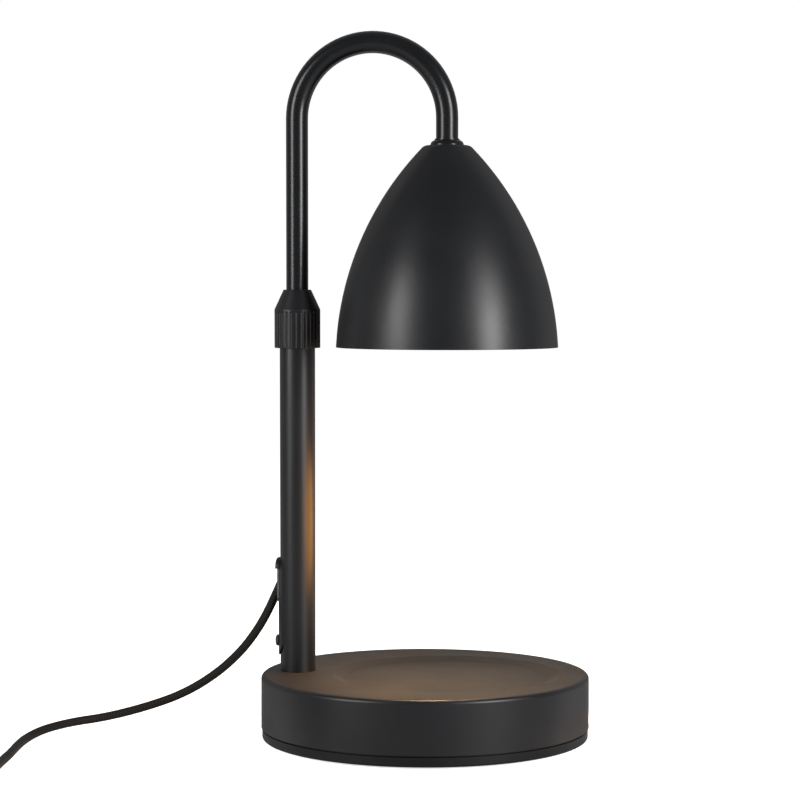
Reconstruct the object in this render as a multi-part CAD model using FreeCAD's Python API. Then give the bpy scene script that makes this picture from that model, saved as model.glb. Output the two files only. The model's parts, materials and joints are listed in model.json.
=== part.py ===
"""Candle warmer lamp: a weighted round base, a tubular post and a gooseneck arm that slides and
swings in it, a spun shade with a reflector bulb, and a mains cord with a dimmer and a plug.

Millimetres, +Z up. The origin is the centre of the base, on the surface that its feet stand on.
The post stands on -X and the shade hangs towards +X.
"""
import FreeCAD, Part
import math
import os

from FreeCAD import Placement, Rotation, Vector

os.makedirs("parts", exist_ok=True)

# Clearances
run_gap = 0.06          # radial, between a shaft and the bore that it turns or slides in
fit_gap = 0.05          # between parts that are assembled and then stay still
seat_gap = 0.1          # between faces that meet at a joint's end
loose_gap = 0.4         # round parts that pass each other freely

# Base
base_d = 150.0
foot_stand = 1.0        # how far the feet stand proud of the base plate
plate_h = 5.1           # visible lip of the base plate
plate_inset = 0.4       # the lip is this much smaller than the shell
lip_round = 1.0
groove_h = 0.8          # the dark line between the lip and the shell
groove_depth = 1.0
plate_floor = 2.0
plate_wall = 3.4
spigot_h = 3.0          # the plate's rim inside the shell
spigot_wall = 1.5
shell_h = 24.1
shell_wall = 2.0
shell_round = 1.9       # the top edge's radius
dish_x = 10.0           # the candle dish is centred under the shade
dish_d = 104.5
dish_floor_d = 94.0
dish_depth = 2.0
ballast_margin = 5.0     # from the drum's side to the ballast
ballast_d = base_d - 2 * ballast_margin
ballast_h = 12.0
foot_d = 12.0
foot_h = 2.0
rim_to_foot = 13.0       # from the drum's side to the middle of a foot or a screw
foot_pcd = base_d - 2 * rim_to_foot
base_screw_pcd = foot_pcd
base_screw_angles = (60.0, 135.0, 225.0, 300.0)
base_screw_d = 3.5
base_screw_head_d = 6.6
base_screw_head_h = 1.5
base_screw_len = 14.0
boss_d = 9.0

# Post
rim_to_post = 16.0       # from the drum's side to the middle of the post
post_x = rim_to_post - base_d / 2
post_d = 16.2
post_wall = 1.2
post_top = 197.0
post_foot_h = 20.0
anchor_d = 8.0
anchor_head_af = 13.0
anchor_head_h = 5.3
anchor_grip = 8.8       # thread of the anchor bolt inside the post foot
washer_d = 22.0
washer_t = 2.0

# Cord entry on the back of the post
cover_w = 12.0
cover_low = 37.5
cover_high = 82.5
cover_t = 0.8
hood_r = 3.6
hood_bead = 1.3
slot_w = 6.4
slot_low = 62.0
slot_high = 81.0
cover_screw_z = 44.0
cover_screw_d = 3.0
cover_screw_head_d = 5.2
cover_screw_head_h = 1.7
cover_screw_len = 6.0
joint_low = 94.0        # the lead joint in the post
joint_h = 8.0
joint_d = 11.0

# Clamp at the top of the post
top_bush_spigot = 12.0
top_bush_flange = 1.5
seat_d = 13.5
seat_depth = 4.5
ring_h = 6.4
ring_low_d = 11.2
ring_play = 0.4         # the open ring is this much smaller than its seat
collar_low = 179.0
collar_flute_h = 17.6
collar_h = 26.7
collar_d = 21.0
collar_top_d = 12.6
collar_web_low = 201.1
flutes = 30
flute_d = 1.5
flute_depth = 0.55

# Arm
arm_d = 10.1
arm_wall = 1.0
arm_low = 144.0
arm_end = 274.0
bend_r = 34.5
bend_z = 283.6
guide_h = 12.0
snap_d = 12.4
snap_t = 1.0
snap_groove = 0.3       # depth of the groove that holds a snap ring
snap_play = 0.02        # between a snap ring and each side of its groove
lead_d = 4.0
slack_d = 3.0

# Shade and its fixing
shade_d = 101.1
shade_h = 91.5
shade_wall = 1.0
shade_flat_d = 18.24    # the flat top inside the shoulder
shade_arc_drop = 6.9    # the curve's centre lies this far below the rim
shade_round = 3.2       # radius of the shoulder
shade_top = 271.0
cap_d = 15.2
cap_top_d = 11.0
cap_h = 2.4
cap_side = 0.5          # the cap's upright edge, below its curve
cap_bulge = 0.17        # the curve's rise as a share of its chord
neck_ring_d = 11.4
nipple_d = 8.0
nipple_bore = 5.0
nipple_grip = 8.5       # thread of the nipple inside the arm
nipple_len = 20.5
lock_washer_d = 13.0
lock_washer_t = 0.8
nut_af = 12.0
nut_h = 4.0

# Lamp holder
bracket_d = 18.0
bracket_t = 1.2
bracket_drop = 12.2
bracket_w = 8.0
bracket_reach = 13.2
holder_d = 27.0
holder_h = 20.0
holder_screw_r = 11.0
holder_screw_d = 2.9
holder_screw_len = 9.0
pin_pitch = 10.0
pin_pocket_w = 5.6
pin_pocket_depth = 10.0
pin_turn = 20.0         # how far the bulb turns to lock, in degrees
contact_t = 0.5

# Bulb
bulb_gap = 0.2
bulb_neck_d = 20.0
bulb_neck_h = 14.8
bulb_d = 50.6
bulb_len = 46.3
bulb_rim_h = 3.2
bulb_wall = 1.5
bulb_curve_r = 46.0
lens_t = 2.0
capsule_d = 9.0
capsule_len = 22.0
bulb_pin_d = 3.0
bulb_pin_head_d = 5.0
bulb_pin_neck = 4.0
bulb_pin_head_h = 3.2

# Cord
cord_d = 4.0
coil_r = 28.4           # the outer turns' centreline
coil_pitch = 4.5        # from one turn to the next, sideways and upwards
coil_layers = 4
coil_turns = 9.25
tie_w = 5.0
tie_t = 0.8
tie_angle = 225.0
tie_gap = 0.3

# In-line dimmer, placed from the coil's centre
dimmer_u = -45.5
dimmer_v = 18.0
dimmer_len = 58.0
dimmer_w = 27.0
dimmer_h = 18.0
dimmer_wall = 1.8
dimmer_round = 3.5
dimmer_stub_d = 7.6
dimmer_stub = 5.0
wheel_d = 21.0
wheel_h = 4.6
wheel_out = 2.6         # how far the wheel stands out of the side
wheel_pin_d = 4.0
wheel_teeth = 36
board_t = 1.6
board_z = 3.4
dimmer_screw_d = 2.2
dimmer_screw_head_d = 4.0

# Plug, lying on the coil
plug_v = 2.5            # the pin face's place, from the coil's centre
plug_w = 35.2
plug_t = 13.7
plug_len = 35.0
plug_tail_w = 14.0
plug_pin_d = 4.0
plug_pin_len = 19.0
plug_pin_pitch = 18.6
relief_len = 24.0
relief_d = 9.6
relief_end_d = 5.4

# Heights and places that follow from the sizes
parting_z = foot_stand + plate_h
base_top = parting_z + shell_h
dish_z = base_top - dish_depth
ceiling_z = base_top - shell_wall
post_bore = post_d - 2 * post_wall
arm_x = post_x + 2 * bend_r
cord_r = cord_d / 2
shade_rim_z = shade_top - shade_h

# The cord's free stretch from the post to the coil, along its centre
cord_route = (
    (-66.4, 0.0, 71.9),
    (-71.3, 0.0, 60.6),
    (-77.8, 1.8, 49.0),
    (-87.1, 5.9, 37.1),
    (-100.4, 10.8, 25.3),
    (-116.4, 13.8, 15.5),
    (-134.0, 13.2, 9.1),
    (-151.5, 7.2, 5.0),
    (-165.4, -3.0, 4.2),
    (-175.0, -18.2, 3.3),
    (-178.4, -35.8, 2.2),
    (-177.3, -53.5, 2.0),
    (-175.2, -71.5, 2.0),
    (-173.9, -90.0, 2.0),
    (-171.1, -109.0, 3.0),
    (-168.6, -128.2, 3.0),
)

# The stretches beside the coil, from the coil's centre: sideways, back and up
lead_route = (
    (-17.0, -28.4, 16.5),
    (-30.0, -23.2, 14.3),
    (-40.0, -13.4, 11.0),
    (-45.5, -0.5, 9.0),
)
plug_route = (
    (-45.5, 96.0, 9.0),
    (-37.2, 108.1, 5.0),
    (-22.4, 112.7, 2.9),
    (-7.0, 108.2, 6.4),
    (1.0, 96.0, 14.1),
    (0.0, 78.6, 25.65),
)


def save(name, shape):
    """Write one sub-part, as one solid or as a group of separate solids."""
    if not shape.isValid():
        print("not valid:", name)
    solids = shape.Solids
    print(f"{name}: {len(solids)} solid(s), {sum(s.Volume for s in solids):.1f} mm3")
    out = solids[0] if len(solids) == 1 else Part.makeCompound(solids)
    out.exportStep(f"parts/{name}.step")


def rod(d, low, high, x=0.0, y=0.0):
    """An upright round bar."""
    return Part.makeCylinder(d / 2, high - low, Vector(x, y, low))


def pipe(d, bore, low, high, x=0.0, y=0.0):
    """An upright tube."""
    return rod(d, low, high, x, y).cut(rod(bore, low, high, x, y))


def cone(low_d, high_d, low, high, x=0.0, y=0.0):
    """An upright cone."""
    return Part.makeCone(low_d / 2, high_d / 2, high - low, Vector(x, y, low))


def bar(d, length, start, along):
    """A round bar that points along a direction."""
    return Part.makeCylinder(d / 2, length, Vector(*start), Vector(*along))


def turned(edges, x=0.0):
    """A body of revolution about an upright axis through x."""
    face = Part.Face(Part.Wire([e.toShape() for e in edges]))
    solid = face.revolve(Vector(0, 0, 0), Vector(0, 0, 1), 360)
    solid.translate(Vector(x, 0, 0))
    return solid


def at(r, z):
    """A point of a turned outline."""
    return Vector(r, 0, z)


def lines(*points):
    """Straight edges through points."""
    return [Part.LineSegment(a, b) for a, b in zip(points, points[1:])]


def hexagon(af, low, high, x):
    """A hexagonal bar."""
    r = af / math.sqrt(3)
    angles = [math.radians(60 * k) for k in range(7)]
    corners = [Vector(x + r * math.cos(a), r * math.sin(a), low) for a in angles]
    return Part.Face(Part.makePolygon(corners)).extrude(Vector(0, 0, high - low))


def around(pcd, angles):
    """Places on a circle about the base's centre."""
    for angle in angles:
        a = math.radians(angle)
        yield pcd / 2 * math.cos(a), pcd / 2 * math.sin(a)


# Base

def dish_tool(drop):
    """The space of the candle dish, or of its underside when lowered by the wall."""
    top = base_top + 1.0
    floor_r = dish_floor_d / 2
    rim_r = dish_d / 2
    slope = (rim_r - floor_r) / dish_depth
    outline = lines(
        at(0, dish_z), at(floor_r, dish_z), at(rim_r + slope, top), at(0, top), at(0, dish_z)
    )
    tool = turned(outline, dish_x)
    tool.translate(Vector(0, 0, -drop))
    return tool


def make_base_shell():
    """Drum with a rounded top edge, a shallow dish, four screw bosses and the post's bolt hole."""
    drum = rod(base_d, parting_z, base_top)
    drum = drum.makeFillet(shell_round, [e for e in drum.Edges if e.BoundBox.ZMin > base_top - 0.01])
    inside = rod(base_d - 2 * shell_wall, parting_z, ceiling_z).cut(dish_tool(shell_wall))
    shell = drum.cut(inside)
    boss_low = foot_stand + plate_floor
    for x, y in around(base_screw_pcd, base_screw_angles):
        shell = shell.fuse(rod(boss_d, boss_low, ceiling_z + shell_wall / 2, x, y))
    shell = shell.cut(dish_tool(0.0))
    for x, y in around(base_screw_pcd, base_screw_angles):
        shell = shell.cut(rod(base_screw_d + 2 * fit_gap, boss_low, boss_low + base_screw_len, x, y))
    return shell.cut(rod(anchor_d + loose_gap, ceiling_z, base_top, post_x))


def make_base_plate():
    """Pan that closes the base: floor, lip and a spigot inside the shell."""
    lip_d = base_d - 2 * plate_inset
    spigot_d = base_d - 2 * shell_wall - 2 * fit_gap
    inner_d = spigot_d - 2 * spigot_wall
    floor_top = foot_stand + plate_floor
    plate = rod(lip_d, foot_stand, parting_z)
    plate = plate.makeFillet(lip_round, [e for e in plate.Edges if e.BoundBox.ZMax < foot_stand + 0.01])
    plate = plate.cut(pipe(base_d, lip_d - 2 * groove_depth, parting_z - groove_h, parting_z))
    plate = plate.fuse(rod(spigot_d, parting_z, parting_z + spigot_h))
    plate = plate.cut(rod(inner_d, floor_top, parting_z + spigot_h))
    for x, y in around(foot_pcd, range(0, 360, 90)):
        plate = plate.cut(rod(foot_d + 2 * fit_gap, foot_stand, foot_h, x, y))
    for x, y in around(base_screw_pcd, base_screw_angles):
        head = cone(base_screw_head_d, base_screw_d, foot_stand, foot_stand + base_screw_head_h, x, y)
        plate = plate.cut(head).cut(rod(base_screw_d, foot_stand, floor_top, x, y))
    return plate


def make_base_screws():
    """Countersunk screws through the plate into the shell's bosses."""
    screws = []
    for x, y in around(base_screw_pcd, base_screw_angles):
        low = foot_stand
        screw = cone(base_screw_head_d, base_screw_d, low, low + base_screw_head_h, x, y)
        screw = screw.fuse(rod(base_screw_d, low + base_screw_head_h, low + base_screw_len, x, y))
        cross = Part.makeBox(3.2, 0.7, 0.8, Vector(x - 1.6, y - 0.35, low))
        screws.append(screw.cut(cross))
    return Part.makeCompound(screws)


def make_feet():
    """Rubber pads let into the plate."""
    return Part.makeCompound([rod(foot_d, 0, foot_h, x, y) for x, y in around(foot_pcd, range(0, 360, 90))])


def make_ballast():
    """Iron weight on the plate's floor, with room for the bosses and for a socket to the bolt."""
    low = foot_stand + plate_floor
    weight = rod(ballast_d, low, low + ballast_h)
    for x, y in around(base_screw_pcd, base_screw_angles):
        weight = weight.cut(rod(boss_d + 2 * loose_gap, low, low + ballast_h, x, y))
    return weight.cut(rod(anchor_head_af + 5.0, low, low + ballast_h, post_x))


# Post

def make_post_foot():
    """Plug pressed into the foot of the post, threaded for the bolt and for the cover's screw."""
    plug = rod(post_bore, base_top, base_top + post_foot_h, post_x)
    plug = plug.cut(rod(anchor_d, base_top, base_top + anchor_grip + 2.0, post_x))
    depth = post_bore / 2 - 2.0
    return plug.cut(bar(cover_screw_d, depth, (post_x - post_bore / 2, 0, cover_screw_z), (1, 0, 0)))


def make_anchor_bolt():
    """Bolt that pulls the post down onto the base from inside."""
    head_high = ceiling_z - washer_t
    head = hexagon(anchor_head_af, head_high - anchor_head_h, head_high, post_x)
    return head.fuse(rod(anchor_d, head_high, base_top + anchor_grip, post_x))


def make_anchor_washer():
    """Wide washer under the base's top."""
    return pipe(washer_d, anchor_d + loose_gap, ceiling_z - washer_t, ceiling_z, post_x)


def slot_prism(width, low, high, inner_r, outer_r):
    """A round-ended slot on the back of the post, between two radii."""
    r = width / 2
    x = post_x - outer_r
    deep = outer_r - inner_r
    block = Part.makeBox(deep, width, high - low - width, Vector(x, -r, low + r))
    ends = [bar(width, deep, (x, 0, z), (1, 0, 0)) for z in (low + r, high - r)]
    return block.fuse(ends)


def make_post():
    """Tube with a slot for the cord and a screw hole at the back."""
    post = pipe(post_d, post_bore, base_top, post_top, post_x)
    post = post.cut(slot_prism(slot_w, slot_low, slot_high, 0.0, post_d))
    return post.cut(bar(cover_screw_d + 2 * fit_gap, post_d, (post_x - post_d, 0, cover_screw_z), (1, 0, 0)))


def make_cord_cover():
    """Curved oblong cover over the slot, with a hood above the cord."""
    outer_d = post_d + 2 * cover_t
    sleeve = pipe(outer_d, post_d, cover_low, cover_high, post_x)
    cover = sleeve.common(slot_prism(cover_w, cover_low, cover_high, 0.0, outer_d))
    bead_x = post_x - outer_d / 2 + 0.2
    bead_z = cover_high - hood_r - hood_bead
    circle = Part.Circle(Vector(bead_x, -hood_r, bead_z), Vector(0, 0, 1), hood_bead)
    bead = Part.Face(Part.Wire([circle.toShape()]))
    hood = bead.revolve(Vector(bead_x, 0, bead_z), Vector(1, 0, 0), -180)
    cover = cover.fuse(hood)
    cover = cover.cut(rod(post_d, cover_low, cover_high, post_x))
    cover = cover.cut(slot_prism(slot_w, slot_low, slot_high - 2.0, 0.0, post_d))
    hole = bar(cover_screw_d + 2 * fit_gap, post_d, (post_x - post_d, 0, cover_screw_z), (1, 0, 0))
    return cover.cut(hole)


def make_cover_screw():
    """Pan-head screw through the cover and the post into the post foot."""
    seat = post_x - post_d / 2 - cover_t
    screw = bar(cover_screw_d, cover_screw_len, (seat, 0, cover_screw_z), (1, 0, 0))
    ball_r = cover_screw_head_d
    head = bar(cover_screw_head_d, cover_screw_head_h, (seat, 0, cover_screw_z), (-1, 0, 0))
    dome = Part.makeSphere(ball_r, Vector(seat - cover_screw_head_h + ball_r, 0, cover_screw_z))
    slot = Part.makeBox(1.0, 3.2, 0.7, Vector(seat - cover_screw_head_h, -1.6, cover_screw_z - 0.35))
    return screw.fuse(head.common(dome)).cut(slot)


def exit_way():
    """The cord's start and its direction out of the post."""
    start = Vector(*cord_route[0])
    return start, (Vector(*cord_route[1]) - start).normalize()


def make_grommet():
    """Rubber bush in the slot, bored for the slanting cord."""
    start, out = exit_way()
    body = slot_prism(slot_w - 2 * fit_gap, slot_low + fit_gap, slot_high - 2.0 - fit_gap,
                      post_bore / 2 - 0.6, post_d / 2 + cover_t + 0.3)
    bore = Part.makeCylinder(cord_r + fit_gap, 60.0, start - out * 30.0, out)
    return max(body.cut(bore).Solids, key=lambda s: s.Volume)


def make_cord_tail():
    """The cord's end inside the post, up to the lead joint."""
    start, out = exit_way()
    reach = (post_x - start.x) / out.x
    corner = start + out * reach
    return soft_tube([start, corner, Vector(post_x, 0, joint_low)], cord_d, "cord tail")


def make_lead_joint():
    """Insulated joint between the cord and the arm's lead."""
    joint = rod(joint_d, joint_low, joint_low + joint_h, post_x)
    return joint.makeFillet(1.5, [joint.Edges[0], joint.Edges[2]])


# Clamp

def make_top_bush():
    """Bush in the top of the post, with the cone that the ring is pressed into."""
    high = post_top + top_bush_flange
    bush = rod(post_bore, post_top - top_bush_spigot, post_top, post_x)
    bush = bush.fuse(rod(post_d, post_top, high, post_x))
    bore = arm_d + loose_gap
    bush = bush.cut(rod(bore, post_top - top_bush_spigot, high, post_x))
    return bush.cut(cone(bore, seat_d, high - seat_depth, high, post_x))


def make_clamp_ring():
    """Tapered ring that grips the arm when the collar presses it down."""
    high = collar_web_low - seat_gap
    low = high - ring_h
    seat_high = post_top + top_bush_flange
    ring = cone(ring_low_d - ring_play, seat_d - ring_play, low, seat_high, post_x)
    ring = ring.fuse(rod(seat_d - 0.4, seat_high, high, post_x))
    return ring.cut(rod(arm_d + 2 * run_gap, low, high, post_x))


def make_collar():
    """Fluted nut with a conical top."""
    high = collar_low + collar_h
    flute_top = collar_low + collar_flute_h
    nut = rod(collar_d, collar_low, flute_top, post_x)
    nut = nut.fuse(cone(collar_d, collar_top_d, flute_top, high, post_x)).removeSplitter()
    nut = nut.makeFillet(0.6, [e for e in nut.Edges if e.BoundBox.ZMin > high - 0.01])
    nut = nut.makeFillet(0.4, [e for e in nut.Edges if e.BoundBox.ZMax < collar_low + 0.01])
    middle = (collar_d + flute_d) / 2 - flute_depth
    tools = []
    for k in range(flutes):
        a = 2 * math.pi * k / flutes
        x, y = post_x + middle * math.cos(a), middle * math.sin(a)
        tool = rod(flute_d, collar_low - 1.0, flute_top - flute_d, x, y)
        tools.append(tool.fuse(cone(flute_d, 0.1, flute_top - flute_d, flute_top, x, y)))
    nut = nut.cut(Part.makeCompound(tools))
    nut = nut.cut(rod(post_d + loose_gap, collar_low, post_top + top_bush_flange + 0.5, post_x))
    nut = nut.cut(rod(seat_d + loose_gap, collar_low, collar_web_low, post_x))
    return nut.cut(rod(arm_d + 2 * loose_gap, collar_low, high, post_x))


# Arm

def goose(d, low, end):
    """A bent bar along the arm's centre, from a height in the post to one over the shade."""
    up = rod(d, low, bend_z, post_x)
    face = Part.Face(Part.Wire([Part.Circle(Vector(post_x, 0, bend_z), Vector(0, 0, 1), d / 2).toShape()]))
    arch = face.revolve(Vector(post_x + bend_r, 0, bend_z), Vector(0, 1, 0), 180)
    return up.fuse([arch, rod(d, end, bend_z, arm_x)]).removeSplitter()


def snap_lows():
    """The lower face of each snap ring."""
    low = arm_low + snap_groove
    return low, low + snap_t + 2 * seat_gap + guide_h


def make_arm():
    """Gooseneck tube with two grooves at its foot."""
    arm = goose(arm_d, arm_low, arm_end).cut(goose(arm_d - 2 * arm_wall, arm_low, arm_end))
    for low in snap_lows():
        groove = pipe(arm_d + 1.0, arm_d - 2 * snap_groove, low, low + snap_t, post_x)
        arm = arm.cut(groove)
    return arm


def make_snap_rings():
    """Rings that keep the guide bush on the arm."""
    rings = []
    for low in snap_lows():
        bore = arm_d - 2 * snap_groove + 2 * fit_gap
        rings.append(pipe(snap_d, bore, low + snap_play, low + snap_t - snap_play, post_x))
    return Part.makeCompound(rings)


def make_guide_bush():
    """Bush that carries the arm's foot in the post."""
    low = snap_lows()[0] + snap_t + seat_gap
    return pipe(post_bore - 2 * run_gap, arm_d + 2 * run_gap, low, low + guide_h, post_x)


def make_slack_lead():
    """The lead's loose stretch, between the joint and the arm's foot."""
    return rod(slack_d, joint_low + joint_h, arm_low, post_x)


def make_arm_lead():
    """The lead inside the arm, down to the lamp holder."""
    return goose(lead_d, arm_low, holder_top())


# Shade

def shade_curve_r():
    """Radius of the one curve that runs from the rim and flows into the shoulder."""
    inward = (shade_flat_d - shade_d) / 2
    rise = shade_h - shade_round + shade_arc_drop
    half = (shade_round**2 + shade_arc_drop**2 - inward**2 - rise**2) / 2
    spread = inward**2 - shade_round**2
    root = math.sqrt((half * shade_round) ** 2 + spread * (half**2 + (inward * shade_arc_drop) ** 2))
    return (root - half * shade_round) / spread


def shade_outline(inset):
    """The wall's outer line, or its inner line when set in by the wall."""
    curve_r = shade_curve_r()
    r = curve_r - inset
    top = shade_top - inset
    round_r = shade_round - inset
    mid = Vector(shade_d / 2 - math.sqrt(curve_r**2 - shade_arc_drop**2), 0, shade_rim_z - shade_arc_drop)
    round_mid = Vector(shade_flat_d / 2, 0, top - round_r)
    out = (round_mid - mid).normalize()
    meet = mid + out * r
    rim = Vector(mid.x + math.sqrt(r**2 - shade_arc_drop**2), 0, shade_rim_z)
    shoulder = Vector(round_mid.x, 0, top)
    half = (out + Vector(0, 0, 1)).normalize()
    way = ((rim - mid).normalize() + out).normalize()
    curve = Part.Arc(rim, mid + way * r, meet)
    bend = Part.Arc(meet, round_mid + half * round_r, shoulder)
    return rim, curve, bend, shoulder


def make_shade():
    """Spun bell with an even wall, a flat top and a hole for the nipple."""
    rim, curve, bend, shoulder = shade_outline(0.0)
    rim_in, curve_in, bend_in, shoulder_in = shade_outline(shade_wall)
    hole = (nipple_d + 2 * fit_gap) / 2
    edges = [curve, bend]
    edges += lines(shoulder, at(hole, shade_top), at(hole, shade_top - shade_wall), shoulder_in)
    edges += [bend_in, curve_in]
    edges += lines(rim_in, rim)
    return turned(edges, arm_x)


def make_shade_cap():
    """Domed cap on the shade's top."""
    low, high = shade_top, shade_top + cap_h
    hole = (nipple_d + 2 * fit_gap) / 2
    side, top = at(cap_d / 2, low + cap_side), at(cap_top_d / 2, high)
    chord = top - side
    bulge = (side + top) * 0.5 + Vector(chord.z, 0, -chord.x) * cap_bulge
    edges = lines(at(hole, low), at(cap_d / 2, low), side)
    edges += [Part.Arc(side, bulge, top)]
    edges += lines(top, at(hole, high), at(hole, low))
    return turned(edges, arm_x)


def make_neck_ring():
    """Thin ring between the cap and the arm's end."""
    return pipe(neck_ring_d, nipple_d + 2 * fit_gap, shade_top + cap_h, arm_end, arm_x)


def make_nipple():
    """Threaded tube that joins arm, shade and bracket."""
    high = arm_end + nipple_grip
    return pipe(nipple_d, nipple_bore, high - nipple_len, high, arm_x)


def make_lock_washer():
    """Washer under the shade's top."""
    high = shade_top - shade_wall
    return pipe(lock_washer_d, nipple_d + 2 * fit_gap, high - lock_washer_t, high, arm_x)


def bracket_top():
    """The upper face of the lamp bracket."""
    return shade_top - shade_wall - lock_washer_t


def holder_top():
    """The upper face of the lamp holder."""
    return bracket_top() - bracket_drop


def make_nipple_nut():
    """Nut that pulls the bracket, the washer and the shade up to the arm."""
    high = bracket_top() - bracket_t
    nut = hexagon(nut_af, high - nut_h, high, arm_x)
    return nut.cut(rod(nipple_d + 2 * fit_gap, high - nut_h, high, arm_x))


def make_lamp_bracket():
    """Bent steel strap: a round top, two legs and two feet on the holder."""
    high = bracket_top()
    foot = holder_top()
    half = bracket_w / 2
    strap = rod(bracket_d, high - bracket_t, high, arm_x)
    for side in (-1, 1):
        leg_x = arm_x + side * (bracket_d / 2 - bracket_t / 2 - 0.4)
        leg = Part.makeBox(bracket_t, bracket_w, high - foot, Vector(leg_x - bracket_t / 2, -half, foot))
        long = bracket_reach - (bracket_d / 2 - bracket_t - 0.4)
        start = leg_x - bracket_t / 2 if side > 0 else arm_x - bracket_reach
        pad = Part.makeBox(long, bracket_w, bracket_t, Vector(start, -half, foot))
        x = arm_x + side * holder_screw_r
        pad = pad.cut(rod(holder_screw_d + 2 * fit_gap, foot, foot + bracket_t, x))
        strap = strap.fuse([leg, pad])
    return strap.cut(rod(nipple_d + 2 * fit_gap, high - bracket_t, high, arm_x))


def make_holder_screws():
    """Screws through the bracket's feet into the holder."""
    screws = []
    seat = holder_top() + bracket_t
    for side in (-1, 1):
        x = arm_x + side * holder_screw_r
        screw = rod(holder_screw_d, seat - holder_screw_len, seat, x)
        screws.append(screw.fuse(rod(4.2, seat, seat + 1.6, x)))
    return Part.makeCompound(screws)


def pin_pocket(width, low, high):
    """The two curved pockets that the bulb's pins turn in."""
    middle = pin_pitch / 2
    outer = pipe(2 * middle + width, 2 * middle - width, low, high, arm_x)
    pockets = []
    for start in (0.0, 180.0):
        wedge = Part.makeCylinder(20.0, high - low, Vector(arm_x, 0, low), Vector(0, 0, 1), pin_turn)
        wedge.rotate(Vector(arm_x, 0, 0), Vector(0, 0, 1), start)
        pocket = outer.common(wedge)
        for angle in (start, start + pin_turn):
            a = math.radians(angle)
            end = rod(width, low, high, arm_x + middle * math.cos(a), middle * math.sin(a))
            pocket = pocket.fuse(end)
        pockets.append(pocket)
    return pockets


def make_lampholder():
    """Ceramic twist-lock holder with two pin pockets and a lead passage."""
    high = holder_top()
    low = high - holder_h
    body = rod(holder_d, low, high, arm_x)
    body = body.makeFillet(1.0, [e for e in body.Edges if e.BoundBox.ZLength < 0.01])
    for pocket in pin_pocket(pin_pocket_w, low, low + pin_pocket_depth):
        body = body.cut(pocket)
    for side in (-1, 1):
        x = arm_x + side * holder_screw_r
        body = body.cut(rod(holder_screw_d, high + bracket_t - holder_screw_len, high, x))
    return body.cut(rod(lead_d, high - 4.0, high, arm_x))


def make_contacts():
    """Spring contacts at the top of the pin pockets."""
    high = holder_top() - holder_h + pin_pocket_depth
    pads = []
    for side in (-1, 1):
        pads.append(rod(pin_pocket_w - 0.6, high - contact_t, high, arm_x + side * pin_pitch / 2))
    return Part.makeCompound(pads)


# Bulb

def bulb_top():
    """The face of the bulb's neck, just under the holder."""
    return holder_top() - holder_h - bulb_gap


def make_bulb_neck():
    """Ceramic neck of the bulb."""
    high = bulb_top()
    neck = rod(bulb_neck_d, high - bulb_neck_h, high, arm_x)
    return neck.makeFillet(0.8, [e for e in neck.Edges if e.BoundBox.ZMin > high - 0.01])


def reflector_line(inset):
    """Curve of the reflector from its crown to its rim."""
    crown = at(bulb_neck_d / 2 + 1.0 - inset, bulb_top() - bulb_neck_h - inset)
    rim = at(bulb_d / 2 - 0.6 - inset, bulb_top() - bulb_len + bulb_rim_h)
    mid = (crown + rim) * 0.5
    chord = rim - crown
    rise = bulb_curve_r - math.sqrt(bulb_curve_r**2 - (chord.Length / 2) ** 2)
    out = Vector(-chord.z, 0, chord.x).normalize()
    return crown, Part.Arc(crown, mid + out * rise, rim), rim


def make_bulb_reflector():
    """Glass cup with a rim for the lens."""
    crown, curve, rim = reflector_line(0.0)
    crown_in, curve_in, rim_in = reflector_line(bulb_wall)
    low = bulb_top() - bulb_len
    outer = bulb_d / 2
    edges = lines(at(0, crown.z), crown) + [curve]
    edges += lines(rim, at(outer, rim.z), at(outer, low), at(rim_in.x, low), rim_in)
    edges += [curve_in]
    edges += lines(crown_in, at(0, crown_in.z), at(0, crown.z))
    return turned(edges, arm_x)


def make_bulb_lens():
    """Front glass inside the rim."""
    low = bulb_top() - bulb_len + 0.4
    _, _, rim_in = reflector_line(bulb_wall)
    return rod(2 * (rim_in.x - fit_gap), low, low + lens_t, arm_x)


def make_bulb_capsule():
    """Halogen capsule on the reflector's axis."""
    high = bulb_top() - bulb_neck_h - bulb_wall
    low = high - capsule_len + capsule_d / 2
    return rod(capsule_d, low, high, arm_x).fuse(Part.makeSphere(capsule_d / 2, Vector(arm_x, 0, low)))


def make_bulb_pins():
    """Two headed pins that turn into the holder."""
    pins = []
    low = bulb_top()
    for side in (-1, 1):
        x = arm_x + side * pin_pitch / 2
        pin = rod(bulb_pin_d, low, low + bulb_pin_neck, x)
        pin = pin.fuse(rod(bulb_pin_head_d, low + bulb_pin_neck, low + bulb_pin_neck + bulb_pin_head_h, x))
        pins.append(pin)
    return Part.makeCompound(pins)


# Cord

def soft_tube(points, d, name):
    """A round tube along straight runs joined by tangent arcs as large as the runs allow."""
    points = [Vector(*p) for p in points]
    edges, radii, start = [], [], points[0]
    for a, b, c in zip(points, points[1:], points[2:]):
        back, on = a - b, c - b
        short = min(back.Length, on.Length)
        half_turn = (math.pi - back.getAngle(on)) / 2
        cut = 0.45 * short
        radii.append(cut / math.tan(half_turn))
        back.normalize()
        on.normalize()
        enter, leave = b + back * cut, b + on * cut
        toward = (back + on).normalize()
        middle = b + toward * (radii[-1] / math.cos(half_turn) - radii[-1])
        edges += [Part.LineSegment(start, enter).toShape(), Part.Arc(enter, middle, leave).toShape()]
        start = leave
    edges.append(Part.LineSegment(start, points[-1]).toShape())
    return swept(edges, d, name, radii)


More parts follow.
